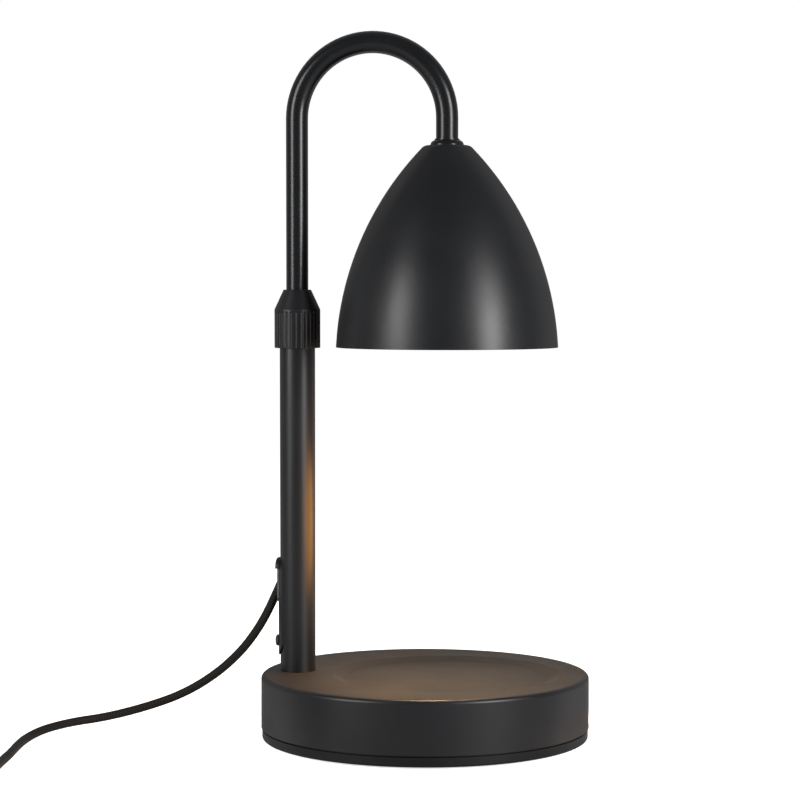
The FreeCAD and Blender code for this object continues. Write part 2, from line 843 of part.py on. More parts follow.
def swept(edges, d, name, radii=None):
    """A tube of even section along joined edges, with its volume checked."""
    path = Part.Wire(edges)
    along = edges[0].tangentAt(edges[0].FirstParameter)
    start = edges[0].valueAt(edges[0].FirstParameter)
    section = Part.Wire([Part.Circle(start, along, d / 2).toShape()])
    tube = path.makePipeShell([section], True, False)
    even = math.pi * d**2 / 4 * path.Length
    note = f", radii {', '.join(f'{r:.0f}' for r in radii)}" if radii else ""
    print(f"{name}: length {path.Length:.1f}, volume ratio {tube.Volume / even:.4f}{note}")
    return tube.Solids[0]


def coil_frame():
    """Placement of the put-away cord: X from the coil's centre to its first turn, Y backwards."""
    end, before = Vector(*cord_route[-1]), Vector(*cord_route[-2])
    heading = (end - before).normalize()
    right = Vector(heading.y, -heading.x, 0)
    centre = end + heading * cord_d + right * coil_r
    turn = math.degrees(math.atan2(-right.y, -right.x))
    return Placement(Vector(centre.x, centre.y, 0), Rotation(Vector(0, 0, 1), turn))


def coil_point(t):
    """Centre of the cord after t turns: the spiral runs in and out, and climbs where it reverses."""
    span = coil_turns / coil_layers
    layer, along = divmod(t, span)
    inward = along if int(layer) % 2 == 0 else span - along
    z = cord_route[-1][2]
    for k in range(1, coil_layers):
        z += coil_pitch * min(max(2 * (t - k * span) + 0.5, 0.0), 1.0)
    r = coil_r - coil_pitch * min(max(inward, 0.0), span)
    a = -2 * math.pi * t
    return Vector(r * math.cos(a), r * math.sin(a), z)


def coil_heading(t):
    """Direction of the cord after t turns."""
    if t <= 0.0:
        return Vector(0, -1, 0)
    if t >= coil_turns:
        a = -2 * math.pi * coil_turns
        return Vector(math.sin(a), -math.cos(a), 0)
    step = 0.004
    return (coil_point(min(t + step, coil_turns)) - coil_point(max(t - step, 0.0))).normalize()


def arc_between(p, along, q):
    """The arc from p to q that leaves p in a given direction."""
    chord = q - p
    unit = Vector(chord).normalize()
    side = along - unit * along.dot(unit)
    if side.Length < 1e-6:
        return Part.LineSegment(p, q).toShape()
    half = along.getAngle(unit) / 2
    middle = (p + q) * 0.5 + side.normalize() * (chord.Length / 2 * math.tan(half))
    return Part.Arc(p, middle, q).toShape()


def biarc(p, p_way, q, q_way):
    """Two arcs that share a tangent, from p to q."""
    chord = q - p
    ways = p_way + q_way
    spread = 2 * (1 - p_way.dot(q_way))
    reach = chord.dot(ways)
    d = (-reach + math.sqrt(reach**2 + spread * chord.dot(chord))) / spread
    joint = (p + q + (p_way - q_way) * d) * 0.5
    first = arc_between(p, p_way, joint)
    second = arc_between(q, q_way * -1, joint)
    middle = second.valueAt((second.FirstParameter + second.LastParameter) / 2)
    return [first, Part.Arc(joint, middle, q).toShape()]


def coil_end():
    """Where the coil's last straight stretch ends, and its heading."""
    heading = coil_heading(coil_turns)
    return coil_point(coil_turns) + heading * cord_d, heading


def make_coil():
    """The spare cord in one round coil of piled turns."""
    quarters = round(coil_turns * 4)
    stops = [coil_turns * k / quarters for k in range(quarters + 1)]
    first = coil_point(0.0)
    edges = [Part.LineSegment(first - coil_heading(0.0) * cord_d, first).toShape()]
    for a, b in zip(stops, stops[1:]):
        edges += biarc(coil_point(a), coil_heading(a), coil_point(b), coil_heading(b))
    edges.append(Part.LineSegment(coil_point(coil_turns), coil_end()[0]).toShape())
    print_least_gap(edges)
    tube = swept(edges, cord_d, "cord coil")
    tube.Placement = coil_frame()
    return tube


def print_least_gap(edges):
    """Print the least gap between the coil's own turns, measured on points along it."""
    places = []
    for edge in edges:
        places += edge.discretize(7)[:-1]
    apart = int(len(places) / coil_turns * 0.4)
    gap = min(
        p.distanceToPoint(q) for k, p in enumerate(places) for q in places[k + apart:]
    ) - cord_d
    print(f"coil: least gap to itself {gap:.2f} mm over {len(places)} points")


def coil_top():
    """Top of the coil's upper layer."""
    return cord_route[-1][2] + coil_pitch * (coil_layers - 1) + cord_r


def put_away(shape):
    """Move a piece from the coil's own frame to its place."""
    shape.Placement = coil_frame()
    return shape


def make_cord_tie():
    """Strap round the coil's turns."""
    inner = coil_r - coil_pitch * coil_turns / coil_layers - cord_r - tie_gap
    outer = coil_r + cord_r + tie_gap
    low = cord_route[-1][2] - cord_r - 0.2
    high = coil_top() + tie_gap
    box = Part.makeBox(outer - inner + 2 * tie_t, tie_w, high - low + 2 * tie_t,
                       Vector(inner - tie_t, -tie_w / 2, low - tie_t))
    hole = Part.makeBox(outer - inner, tie_w, high - low, Vector(inner, -tie_w / 2, low))
    strap = box.cut(hole)
    strap.rotate(Vector(0, 0, 0), Vector(0, 0, 1), tie_angle)
    return Part.makeCompound([strap]).transformGeometry(coil_frame().toMatrix())


def dimmer_box(inset, low, high):
    """The dimmer's rounded outline between two heights."""
    wide, deep = dimmer_w - 2 * inset, dimmer_len - 2 * inset
    box = Part.makeBox(wide, deep, high - low, Vector(dimmer_u - wide / 2, dimmer_v + inset, low))
    corner = max(dimmer_round * 2 - inset, 0.6)
    return box.makeFillet(corner, [e for e in box.Edges if e.BoundBox.ZLength > 0.01])


def wheel_place():
    """The axis of the dimmer's wheel."""
    return dimmer_u - dimmer_w / 2 - wheel_out + wheel_d / 2, dimmer_v + dimmer_len / 2


def dimmer_screw_places():
    """The two screws, at opposite corners."""
    for side in (-1, 1):
        middle = dimmer_v + dimmer_len / 2
        yield dimmer_u + side * (dimmer_w / 2 - 5.2), middle + side * (dimmer_len / 2 - 6.4)


def dimmer_shell(low, high, outer_face):
    """Half of the dimmer's case: walls, an outer face, end stubs and an opening for the wheel."""
    case = dimmer_box(0.0, low, high)
    rims = [e for e in case.Edges if abs(e.BoundBox.ZMin - outer_face) < 0.01 and e.BoundBox.ZLength < 0.01]
    case = case.makeFillet(1.6, rims)
    floor = low + dimmer_wall if outer_face == low else low
    roof = high - dimmer_wall if outer_face == high else high
    case = case.cut(dimmer_box(dimmer_wall, floor, roof))
    middle = dimmer_h / 2
    for start, way in ((dimmer_v, -1), (dimmer_v + dimmer_len, 1)):
        stub = bar(dimmer_stub_d, dimmer_stub, (dimmer_u, start, middle), (0, way, 0))
        half = Part.makeBox(20, 20, high - low, Vector(dimmer_u - 10, start - 10, low))
        case = case.fuse(stub.common(half))
    x, y = wheel_place()
    case = case.cut(rod(wheel_d + 1.2, middle - wheel_h / 2 - 0.3, middle + wheel_h / 2 + 0.3, x, y))
    return case


def make_dimmer_lower():
    """Lower half with the wheel's pin and the screws' sockets."""
    middle = dimmer_h / 2
    case = dimmer_shell(0.0, middle, 0.0)
    x, y = wheel_place()
    case = case.fuse(rod(7.0, 0.4, middle - wheel_h / 2 - 0.2, x, y))
    case = case.fuse(rod(wheel_pin_d, 0.4, middle + wheel_h / 2 + 0.3, x, y))
    for x, y in dimmer_screw_places():
        case = case.fuse(rod(5.4, 0.4, middle, x, y))
        case = case.cut(rod(dimmer_screw_head_d + 2 * fit_gap, 0.0, 1.6, x, y))
        case = case.cut(rod(dimmer_screw_d + 2 * fit_gap, 0.0, middle, x, y))
    return put_away(case)


def make_dimmer_upper():
    """Upper half with the screws' pilot bosses."""
    middle = dimmer_h / 2
    case = dimmer_shell(middle, dimmer_h, dimmer_h)
    for x, y in dimmer_screw_places():
        case = case.fuse(rod(5.4, middle, dimmer_h - 0.6, x, y))
        case = case.cut(rod(dimmer_screw_d + 2 * fit_gap, middle, middle + 6.0, x, y))
    return put_away(case)


def make_dimmer_wheel():
    """Knurled wheel that stands out of the case's side."""
    x, y = wheel_place()
    middle = dimmer_h / 2
    wheel = pipe(wheel_d, wheel_pin_d + 2 * run_gap, middle - wheel_h / 2, middle + wheel_h / 2, x, y)
    notches = []
    for k in range(wheel_teeth):
        a = 2 * math.pi * k / wheel_teeth
        dx, dy = (wheel_d / 2 + 0.25) * math.cos(a), (wheel_d / 2 + 0.25) * math.sin(a)
        notches.append(rod(1.1, middle - wheel_h, middle + wheel_h, x + dx, y + dy))
    return put_away(wheel.cut(Part.makeCompound(notches)))


def make_dimmer_board():
    """Circuit board with a choke and a capacitor, clear of the pin and the bosses."""
    board = dimmer_box(dimmer_wall + tie_gap, board_z, board_z + board_t)
    x, y = wheel_place()
    board = board.cut(rod(7.6, board_z, board_z + board_t, x, y))
    for sx, sy in dimmer_screw_places():
        board = board.cut(Part.makeBox(9.0, 9.0, board_t, Vector(sx - 4.5, sy - 4.5, board_z)))
    on = board_z + board_t
    choke = rod(9.0, on, on + 6.5, dimmer_u, dimmer_v + 13.0)
    block = Part.makeBox(11.0, 6.0, 7.5, Vector(dimmer_u - 5.5, dimmer_v + dimmer_len - 14.0, on))
    return put_away(board.fuse([choke, block]))


def make_dimmer_screws():
    """Screws that hold the two halves together."""
    screws = []
    for x, y in dimmer_screw_places():
        head = rod(dimmer_screw_head_d, 0.3, 1.6, x, y)
        screws.append(head.fuse(rod(dimmer_screw_d, 1.6, dimmer_h / 2 + 5.0, x, y)))
    return put_away(Part.makeCompound(screws))


def plug_height():
    """The plug's middle when it lies on the coil."""
    return coil_top() + tie_gap + plug_t / 2


def make_plug_body():
    """Flat two-pin plug with a tapered strain relief."""
    z = plug_height()
    half, tail = plug_w / 2, plug_tail_w / 2
    front, back = plug_v, plug_v + plug_len
    side = [(half, front), (half, front + 9.5), (tail + 2.0, back - 7.0), (tail, back)]
    outline = side + [(-x, y) for x, y in reversed(side)]
    corners = [Vector(x, y, z - plug_t / 2) for x, y in outline + outline[:1]]
    body = Part.Face(Part.makePolygon(corners)).extrude(Vector(0, 0, plug_t))
    body = body.makeFillet(2.4, [e for e in body.Edges if e.BoundBox.ZLength > 0.01])
    rims = [e for e in body.Edges if e.BoundBox.ZLength < 0.01 and e.BoundBox.YMax > front + 0.01]
    body = body.makeFillet(1.8, rims)
    root = Vector(0, back - 1.0, z)
    relief = Part.makeCone(relief_d / 2, relief_end_d / 2, relief_len + 1.0, root, Vector(0, 1, 0))
    return put_away(body.fuse(relief).removeSplitter())


def make_plug_pins():
    """Two round pins with insulated shanks."""
    z = plug_height()
    pins = []
    for side in (-1, 1):
        pin = bar(plug_pin_d, plug_pin_len, (side * plug_pin_pitch / 2, plug_v, z), (0, -1, 0))
        tip = [e for e in pin.Edges if e.BoundBox.YMax < plug_v - plug_pin_len + 0.01]
        pins.append(pin.makeFillet(0.9, tip))
    return put_away(Part.makeCompound(pins))


def make_lamp_cord():
    """The cord from the post down to the table and on to the coil."""
    return soft_tube(cord_route, cord_d, "lamp cord")


def make_dimmer_cord():
    """The cord from the coil's last turn to the dimmer."""
    start, _ = coil_end()
    end = Vector(dimmer_u, dimmer_v - dimmer_stub, dimmer_h / 2)
    return put_away(soft_tube([start, *lead_route, end], cord_d, "dimmer cord"))


def make_plug_cord():
    """The cord from the dimmer to the plug's strain relief."""
    start = Vector(dimmer_u, dimmer_v + dimmer_len + dimmer_stub, dimmer_h / 2)
    end = Vector(0, plug_v + plug_len + relief_len, plug_height())
    return put_away(soft_tube([start, *plug_route, end], cord_d, "plug cord"))


def main():
    """Build and write every sub-part, and print the places that joints and mounts use."""
    parts = {
        "base_shell": make_base_shell,
        "base_plate": make_base_plate,
        "base_screws": make_base_screws,
        "rubber_feet": make_feet,
        "ballast_disc": make_ballast,
        "post_tube": make_post,
        "post_foot_plug": make_post_foot,
        "post_anchor_bolt": make_anchor_bolt,
        "post_anchor_washer": make_anchor_washer,
        "cord_cover": make_cord_cover,
        "cord_cover_screw": make_cover_screw,
        "cord_grommet": make_grommet,
        "cord_tail": make_cord_tail,
        "lead_joint": make_lead_joint,
        "slack_lead": make_slack_lead,
        "post_top_bush": make_top_bush,
        "clamp_ring": make_clamp_ring,
        "clamp_collar": make_collar,
        "guide_bush": make_guide_bush,
        "arm_tube": make_arm,
        "arm_snap_rings": make_snap_rings,
        "arm_lead": make_arm_lead,
        "shade": make_shade,
        "shade_cap": make_shade_cap,
        "neck_ring": make_neck_ring,
        "threaded_nipple": make_nipple,
        "lock_washer": make_lock_washer,
        "nipple_nut": make_nipple_nut,
        "lamp_bracket": make_lamp_bracket,
        "holder_screws": make_holder_screws,
        "lampholder": make_lampholder,
        "holder_contacts": make_contacts,
        "bulb_neck": make_bulb_neck,
        "bulb_pins": make_bulb_pins,
        "bulb_reflector": make_bulb_reflector,
        "bulb_lens": make_bulb_lens,
        "bulb_capsule": make_bulb_capsule,
        "lamp_cord": make_lamp_cord,
        "cord_coil": make_coil,
        "cord_tie": make_cord_tie,
        "dimmer_cord": make_dimmer_cord,
        "dimmer_lower_case": make_dimmer_lower,
        "dimmer_upper_case": make_dimmer_upper,
        "dimmer_wheel": make_dimmer_wheel,
        "dimmer_board": make_dimmer_board,
        "dimmer_screws": make_dimmer_screws,
        "plug_cord": make_plug_cord,
        "plug_body": make_plug_body,
        "plug_pins": make_plug_pins,
    }
    for name, make in parts.items():
        save(name, make())
    frame = coil_frame()
    x, y = wheel_place()
    print("coil centre", frame.Base, "turned", round(math.degrees(frame.Rotation.Angle), 3))
    print("dimmer wheel axis", frame.multVec(Vector(x, y, dimmer_h / 2)))
    for side in (-1, 1):
        pin = Vector(side * plug_pin_pitch / 2, plug_v - plug_pin_len / 2, plug_height())
        print("plug pin", frame.multVec(pin), "points", frame.Rotation.multVec(Vector(0, -1, 0)))


main()
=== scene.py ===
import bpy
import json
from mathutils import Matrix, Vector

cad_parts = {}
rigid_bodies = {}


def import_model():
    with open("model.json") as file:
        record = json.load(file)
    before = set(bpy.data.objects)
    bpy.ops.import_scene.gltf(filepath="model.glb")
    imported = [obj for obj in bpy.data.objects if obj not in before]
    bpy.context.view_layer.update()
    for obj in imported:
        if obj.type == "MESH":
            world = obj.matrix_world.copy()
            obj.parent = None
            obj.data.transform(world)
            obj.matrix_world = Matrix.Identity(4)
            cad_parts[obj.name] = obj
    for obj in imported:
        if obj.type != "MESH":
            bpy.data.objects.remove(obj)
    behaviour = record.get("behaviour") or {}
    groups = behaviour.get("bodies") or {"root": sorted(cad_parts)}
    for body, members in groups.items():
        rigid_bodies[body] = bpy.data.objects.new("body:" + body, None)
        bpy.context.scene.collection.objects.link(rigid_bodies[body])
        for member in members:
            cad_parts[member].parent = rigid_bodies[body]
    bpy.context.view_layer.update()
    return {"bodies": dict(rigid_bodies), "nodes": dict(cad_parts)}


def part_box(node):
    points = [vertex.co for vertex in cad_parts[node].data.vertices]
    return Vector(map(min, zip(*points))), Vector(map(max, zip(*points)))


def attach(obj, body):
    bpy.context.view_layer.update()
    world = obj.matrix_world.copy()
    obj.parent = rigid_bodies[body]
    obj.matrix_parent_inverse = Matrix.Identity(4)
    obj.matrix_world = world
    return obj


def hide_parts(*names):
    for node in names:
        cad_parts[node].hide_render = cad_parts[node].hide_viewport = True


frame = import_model()

import json
import math

import bpy
from mathutils import Matrix, Vector

# Camera
# A long lens a little above the shade's rim, to the right of the lamp and turned in towards it,
# so that the drum, the dish and the front of the shade are seen almost level.
camera = bpy.data.objects.new("camera", bpy.data.cameras.new("camera"))
camera.data.lens = 108.89
camera.data.sensor_width = 36.0
camera.data.clip_start, camera.data.clip_end = 0.05, 30.0
camera.location = (0.12877, -1.09534, 0.20758)
camera.rotation_euler = (math.radians(87.291), 0.0, math.radians(7.3))
bpy.context.scene.collection.objects.link(camera)
bpy.context.scene.camera = camera

# Flex
# The lamp's two-core flex, 4 mm round in a black braided jacket, about 1.8 m in all. It leaves
# the cover on the post, drops to the table and runs to the coil of put-away turns, whose last
# turn goes on to the dimmer; a short length joins the dimmer to the plug.
cord_d = 0.004
coil_centre = Vector((-0.196246, -0.135833, 0.0))
coil_turned = math.radians(7.419)
coil_r, coil_pitch, coil_low = 0.0284, 0.0045, 0.003
coil_layers, coil_turns, turn_points = 4, 9.25, 16
climb_turns = 0.5

post_to_coil = (
    (-0.0664, 0.0, 0.0719),
    (-0.0713, 0.0, 0.0606),
    (-0.0778, 0.0018, 0.0490),
    (-0.0871, 0.0059, 0.0371),
    (-0.1004, 0.0108, 0.0253),
    (-0.1164, 0.0138, 0.0155),
    (-0.1340, 0.0132, 0.0091),
    (-0.1515, 0.0072, 0.0050),
    (-0.1654, -0.0030, 0.0042),
    (-0.1750, -0.0182, 0.0033),
    (-0.1784, -0.0358, 0.0022),
    (-0.1773, -0.0535, 0.0020),
    (-0.1752, -0.0715, 0.0020),
    (-0.1739, -0.0900, 0.0020),
    (-0.1711, -0.1090, 0.0030),
    (-0.1686, -0.1282, 0.0030),
)
coil_to_dimmer = (
    (-0.0040, -0.0284, 0.0165),
    (-0.0170, -0.0284, 0.0165),
    (-0.0300, -0.0232, 0.0143),
    (-0.0400, -0.0134, 0.0110),
    (-0.0455, -0.0005, 0.0090),
    (-0.0455, 0.0130, 0.0090),
)
dimmer_to_plug = (
    (-0.0455, 0.0810, 0.0090),
    (-0.0455, 0.0960, 0.0090),
    (-0.0372, 0.1081, 0.0050),
    (-0.0224, 0.1127, 0.0029),
    (-0.0070, 0.1082, 0.0064),
    (0.0010, 0.0960, 0.0141),
    (0.0, 0.0786, 0.02565),
    (0.0, 0.0615, 0.02565),
)


def beside_coil(x, y, z):
    """A point given from the coil's centre: sideways, back and up."""
    return coil_centre + Matrix.Rotation(coil_turned, 3, "Z") @ Vector((x, y, z))


def coil_point(turn):
    """The cord after that many turns: the spiral runs in and out, and climbs where it reverses."""
    span = coil_turns / coil_layers
    layer, along = divmod(turn, span)
    inward = along if int(layer) % 2 == 0 else span - along
    z = coil_low
    for k in range(1, coil_layers):
        z += coil_pitch * min(max((turn - k * span) / climb_turns + 0.5, 0.0), 1.0)
    r = coil_r - coil_pitch * min(max(inward, 0.0), span)
    angle = -2 * math.pi * turn
    return beside_coil(r * math.cos(angle), r * math.sin(angle), z)


def lay_cord(name, points):
    """A round cord along the smooth line that these control points draw."""
    curve = bpy.data.curves.new(name, "CURVE")
    curve.dimensions = "3D"
    curve.bevel_depth = cord_d / 2
    curve.bevel_resolution = 4
    curve.resolution_u = 8
    curve.use_fill_caps = True
    line = curve.splines.new("NURBS")
    line.points.add(len(points) - 1)
    for point, place in zip(line.points, points):
        point.co = (*place, 1.0)
    line.order_u = 3
    line.use_endpoint_u = True
    cord = bpy.data.objects.new(name, curve)
    bpy.context.scene.collection.objects.link(cord)
    return cord


def new_finish(name, slot_values):
    """A node material whose Principled shader has these plain values."""
    material = bpy.data.materials.new(name)
    material.use_nodes = True
    nodes = material.node_tree.nodes
    shader = nodes["Principled BSDF"]
    for socket, value in slot_values.items():
        shader.inputs[socket].default_value = value
    return material, nodes, material.node_tree.links, shader


def new_group(name, inputs, outputs):
    """An empty shader group with named inputs and outputs."""
    group = bpy.data.node_groups.new(name, "ShaderNodeTree")
    for label, kind, value in inputs:
        socket = group.interface.new_socket(name=label, in_out="INPUT", socket_type=kind)
        socket.default_value = value
    for label, kind in outputs:
        group.interface.new_socket(name=label, in_out="OUTPUT", socket_type=kind)
    return group, group.nodes.new("NodeGroupInput"), group.nodes.new("NodeGroupOutput")


def sum_node(nodes, links, operation, first, second):
    """A Math node between two sockets or numbers."""
    node = nodes.new("ShaderNodeMath")
    node.operation = operation
    for socket, value in zip(node.inputs, (first, second)):
        if isinstance(value, (int, float)):
            socket.default_value = value
        else:
            links.new(value, socket)
    return node.outputs[0]


def make_braid_group():
    """Two sets of threads that wind round the cord in opposite ways, over and under each other."""
    group, given, out = new_group(
        "braid",
        [("Around", "NodeSocketFloat", 12.0), ("Along", "NodeSocketFloat", 100.0)],
        [("Height", "NodeSocketFloat"), ("Thread", "NodeSocketFloat")],
    )
    nodes, links = group.nodes, group.links
    uv = nodes.new("ShaderNodeUVMap")
    parts = nodes.new("ShaderNodeSeparateXYZ")
    links.new(uv.outputs[0], parts.inputs[0])
    along = sum_node(nodes, links, "MULTIPLY", parts.outputs[0], given.outputs["Along"])
    around = sum_node(nodes, links, "MULTIPLY", parts.outputs[1], given.outputs["Around"])
    waves = []
    for way in ("ADD", "SUBTRACT"):
        phase = sum_node(nodes, links, way, around, along)
        angle = sum_node(nodes, links, "MULTIPLY", phase, 2 * math.pi)
        waves.append(sum_node(nodes, links, "SINE", angle, 0.0))
    crossed = sum_node(nodes, links, "MULTIPLY", waves[0], waves[1])
    height = sum_node(nodes, links, "MULTIPLY_ADD", crossed, 0.5)
    height.node.inputs[2].default_value = 0.5
    links.new(height, out.inputs["Height"])
    links.new(sum_node(nodes, links, "POWER", height, 1.6), out.inputs["Thread"])
    return group


braid_group = make_braid_group()
threads_around = 8.0
thread_pitch, thread_height = 0.0016, 0.00018
thread_gap_black = (0.0003, 0.0003, 0.0002, 1.0)
thread_black = (0.0085, 0.0072, 0.0058, 1.0)


def braided(name, length):
    """The flex's jacket for a run of that length."""
    material, nodes, links, shader = new_finish(name, {"Roughness": 0.7, "IOR": 1.13})
    weave = nodes.new("ShaderNodeGroup")
    weave.node_tree = braid_group
    weave.inputs["Around"].default_value = threads_around
    weave.inputs["Along"].default_value = round(length / thread_pitch)
    tint = nodes.new("ShaderNodeMix")
    tint.data_type = "RGBA"
    tint.inputs["A"].default_value = thread_gap_black
    tint.inputs["B"].default_value = thread_black
    links.new(weave.outputs["Thread"], tint.inputs["Factor"])
    links.new(tint.outputs["Result"], shader.inputs["Base Color"])
    bump = nodes.new("ShaderNodeBump")
    bump.inputs["Strength"].default_value = 0.5
    bump.inputs["Distance"].default_value = thread_height
    links.new(weave.outputs["Height"], bump.inputs["Height"])
    links.new(bump.outputs["Normal"], shader.inputs["Normal"])
    return material


turns = [coil_point(k / turn_points) for k in range(int(coil_turns * turn_points) + 1)]
lamp_flex_length, plug_flex_length = 1.69, 0.113
lamp_flex = lay_cord("lamp_flex", [*post_to_coil, *turns, *(beside_coil(*p) for p in coil_to_dimmer)])
plug_flex = lay_cord("plug_flex", [beside_coil(*p) for p in dimmer_to_plug])
lamp_flex.data.materials.append(braided("lamp_flex_jacket", lamp_flex_length))
plug_flex.data.materials.append(braided("plug_flex_jacket", plug_flex_length))
for flex in (lamp_flex, plug_flex):
    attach(flex, "stand")
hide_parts("lamp_cord", "cord_coil", "dimmer_cord")
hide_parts("plug_cord")


# Base
# A pressed steel drum with a shallow dish in its top, powder coated satin black. The coat
# has the fine orange peel of sprayed powder, and pale specks on faces that look up: a little
# dust, and painted light that makes those tops lighter than the sides.
def make_coat_group():
    """Sprayed or moulded skin: fine grain, broad cloudiness, and pale specks on faces that look up,
    partly dust and partly painted light that lightens those tops.
    """
    group, given, out = new_group(
        "skin",
        [("Grain Size", "NodeSocketFloat", 0.0008), ("Cloud Size", "NodeSocketFloat", 0.03)],
        [("Grain", "NodeSocketFloat"), ("Cloud", "NodeSocketFloat"), ("Dust And Top Light", "NodeSocketFloat")],
    )
    nodes, links = group.nodes, group.links
    place = nodes.new("ShaderNodeTexCoord").outputs["Object"]
    found = []
    for size, detail in (("Grain Size", 2.0), ("Cloud Size", 4.0)):
        noise = nodes.new("ShaderNodeTexNoise")
        noise.inputs["Detail"].default_value = detail
        links.new(place, noise.inputs["Vector"])
        links.new(sum_node(nodes, links, "DIVIDE", 1.0, given.outputs[size]), noise.inputs["Scale"])
        found.append(noise.outputs["Fac"])
    normal = nodes.new("ShaderNodeSeparateXYZ")
    links.new(nodes.new("ShaderNodeNewGeometry").outputs["Normal"], normal.inputs[0])
    # Faces that look up get pale specks: a little dust, and painted light that makes tops lighter.
    upward = nodes.new("ShaderNodeMapRange")
    upward.inputs["From Min"].default_value = 0.6
    links.new(normal.outputs["Z"], upward.inputs["Value"])
    specks = nodes.new("ShaderNodeTexNoise")
    specks.inputs["Scale"].default_value = 2400.0
    specks.inputs["Detail"].default_value = 1.0
    links.new(place, specks.inputs["Vector"])
    bits = nodes.new("ShaderNodeMapRange")
    bits.inputs["From Min"].default_value = 0.66
    bits.inputs["From Max"].default_value = 0.74
    links.new(specks.outputs["Fac"], bits.inputs["Value"])
    links.new(found[0], out.inputs["Grain"])
    links.new(found[1], out.inputs["Cloud"])
    links.new(sum_node(nodes, links, "MULTIPLY", upward.outputs[0], bits.outputs[0]), out.inputs["Dust And Top Light"])
    return group


coat_group = make_coat_group()
# Colour of the pale specks on faces that look up: dust, and painted light on the tops.
dust_and_top_light_grey = (0.22, 0.21, 0.20, 1.0)


def coated(name, dark, light, rough, grain_size, grain_depth, dust_and_top_light=0.1, cloud_size=0.03,
           slant_rough=0.0, **plain):
    """A skin between two colours and two roughnesses, with a grain of that size and depth.
    Seen at a slant, its gloss is lower by slant_rough."""
    material, nodes, links, shader = new_finish(
        name, {label.replace("_", " "): value for label, value in plain.items()})
    skin = nodes.new("ShaderNodeGroup")
    skin.node_tree = coat_group
    skin.inputs["Grain Size"].default_value = grain_size
    skin.inputs["Cloud Size"].default_value = cloud_size
    tint = nodes.new("ShaderNodeMix")
    tint.data_type = "RGBA"
    tint.inputs["A"].default_value = (*dark, 1.0)
    tint.inputs["B"].default_value = (*light, 1.0)
    links.new(skin.outputs["Cloud"], tint.inputs["Factor"])
    # Mixes in the pale specks: dust, and painted light that lightens faces that look up.
    dust_and_top_light_mix = nodes.new("ShaderNodeMix")
    dust_and_top_light_mix.data_type = "RGBA"
    dust_and_top_light_mix.inputs["B"].default_value = dust_and_top_light_grey
    links.new(sum_node(nodes, links, "MULTIPLY", skin.outputs["Dust And Top Light"], dust_and_top_light), dust_and_top_light_mix.inputs["Factor"])
    links.new(tint.outputs["Result"], dust_and_top_light_mix.inputs["A"])
    links.new(dust_and_top_light_mix.outputs["Result"], shader.inputs["Base Color"])
    gloss = nodes.new("ShaderNodeMapRange")
    gloss.inputs["From Min"].default_value = 0.3
    gloss.inputs["From Max"].default_value = 0.7
    gloss.inputs["To Min"].default_value = rough[0]
    gloss.inputs["To Max"].default_value = rough[1]
    links.new(skin.outputs["Cloud"], gloss.inputs["Value"])
    slant = nodes.new("ShaderNodeMapRange")
    slant.inputs["From Min"].default_value = 0.4
    slant.inputs["From Max"].default_value = 0.8
    slant.inputs["To Max"].default_value = slant_rough
    links.new(nodes.new("ShaderNodeLayerWeight").outputs["Facing"], slant.inputs["Value"])
    links.new(sum_node(nodes, links, "ADD", gloss.outputs[0], slant.outputs[0]),
              shader.inputs["Roughness"])
    bump = nodes.new("ShaderNodeBump")
    bump.inputs["Strength"].default_value = 0.35
    bump.inputs["Distance"].default_value = grain_depth
    links.new(skin.outputs["Grain"], bump.inputs["Height"])
    links.new(bump.outputs["Normal"], shader.inputs["Normal"])
    return material


def dress(material, *names):
    """Give CAD nodes their finish."""
    for name in names:
        mesh = frame["nodes"][name].data
        mesh.materials.clear()
        mesh.materials.append(material)


black_coat = coated("satin_black_coat", (0.0007, 0.0008, 0.0011), (0.0015, 0.0016, 0.0020),
                    (0.34, 0.41), 0.0009, 0.00004, slant_rough=0.34, IOR=1.19)
dress(black_coat, "base_shell")

# Base plate: injection moulded black plastic with a fine spark-eroded texture, let into the drum
# and held by four screws. It carries the four rubber feet.
plate_plastic = coated("plate_plastic", (0.0006, 0.0007, 0.0008), (0.0012, 0.0013, 0.0014),
                       (0.40, 0.48), 0.0006, 0.00005, dust_and_top_light=0.0, slant_rough=0.2, IOR=1.15)
dress(plate_plastic, "base_plate")
dress(coated("foot_rubber", (0.0105, 0.0105, 0.0108), (0.0150, 0.0148, 0.0145),
             (0.72, 0.85), 0.0005, 0.00005, dust_and_top_light=0.0, cloud_size=0.006, IOR=1.45), "rubber_feet")
dress(coated("ballast_iron", (0.060, 0.055, 0.050), (0.110, 0.100, 0.090),
             (0.55, 0.75), 0.0012, 0.00015, dust_and_top_light=0.0, cloud_size=0.012, Metallic=0.85), "ballast_disc")


# Turned metal
# The screws, washers, bracket and threaded nipple are zinc plated steel, and the nipple's nut and
# the bush in the post's top are brass. Fine tool marks run round them.
def make_turning_group():
    """Tool marks that run round an upright axis, with a soft variation along it."""
    group, given, out = new_group(
        "tool_marks",
        [("Pitch", "NodeSocketFloat", 0.0002)],
        [("Marks", "NodeSocketFloat"), ("Tarnish", "NodeSocketFloat")],
    )
    nodes, links = group.nodes, group.links
    place = nodes.new("ShaderNodeTexCoord").outputs["Object"]
    squeeze = nodes.new("ShaderNodeMapping")
    squeeze.inputs["Scale"].default_value = (0.06, 0.06, 1.0)
    links.new(place, squeeze.inputs["Vector"])
    marks = nodes.new("ShaderNodeTexNoise")
    marks.inputs["Detail"].default_value = 3.0
    links.new(squeeze.outputs[0], marks.inputs["Vector"])
    links.new(sum_node(nodes, links, "DIVIDE", 1.0, given.outputs["Pitch"]), marks.inputs["Scale"])
    tarnish = nodes.new("ShaderNodeTexNoise")
    tarnish.inputs["Scale"].default_value = 220.0
    tarnish.inputs["Detail"].default_value = 5.0
    links.new(place, tarnish.inputs["Vector"])
    links.new(marks.outputs["Fac"], out.inputs["Marks"])
    links.new(tarnish.outputs["Fac"], out.inputs["Tarnish"])
    return group


turning_group = make_turning_group()


